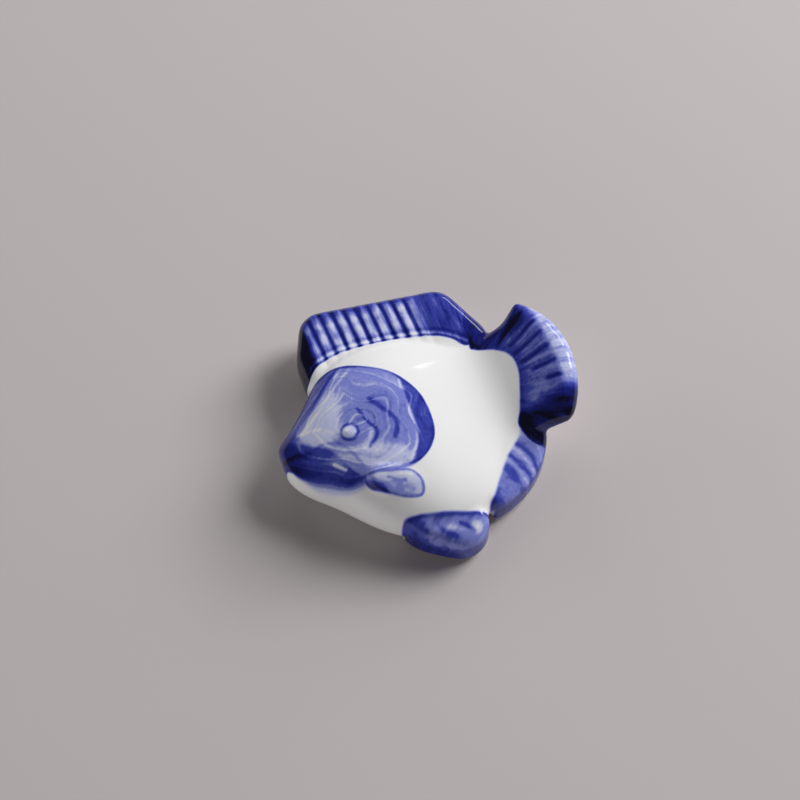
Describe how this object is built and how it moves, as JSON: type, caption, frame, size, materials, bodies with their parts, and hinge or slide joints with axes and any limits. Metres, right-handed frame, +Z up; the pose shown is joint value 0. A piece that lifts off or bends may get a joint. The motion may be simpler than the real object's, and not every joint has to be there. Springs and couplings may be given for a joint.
{
  "type": "chopstick rest",
  "caption": "Glazed porcelain chopstick rest shaped as a deep-bodied fish lying on its side, white with cobalt-blue head and fins, saddle between head and raised tail.",
  "frame": {"origin": "on the table plane under the middle of the bounding box", "axes": "+X from the snout to the tail, +Y from the belly to the back fin, +Z up out of the table"},
  "size_m": [0.0532, 0.0514, 0.0143],
  "materials": {
    "white_glaze": "glossy clear glaze over white porcelain",
    "cobalt_blue": "glossy clear glaze over brushed cobalt blue",
    "bare_foot": "unglazed, matte where it stands"
  },
  "bodies": {
    "root": {"body": "white_glaze", "head": "cobalt_blue", "eye": "cobalt_blue", "pectoral_fin": "cobalt_blue", "dorsal_fin": "cobalt_blue", "tail_fin": "cobalt_blue", "anal_fin": "cobalt_blue", "pelvic_fin": "cobalt_blue", "foot_rim": "bare_foot"}
  },
  "joints": []
}
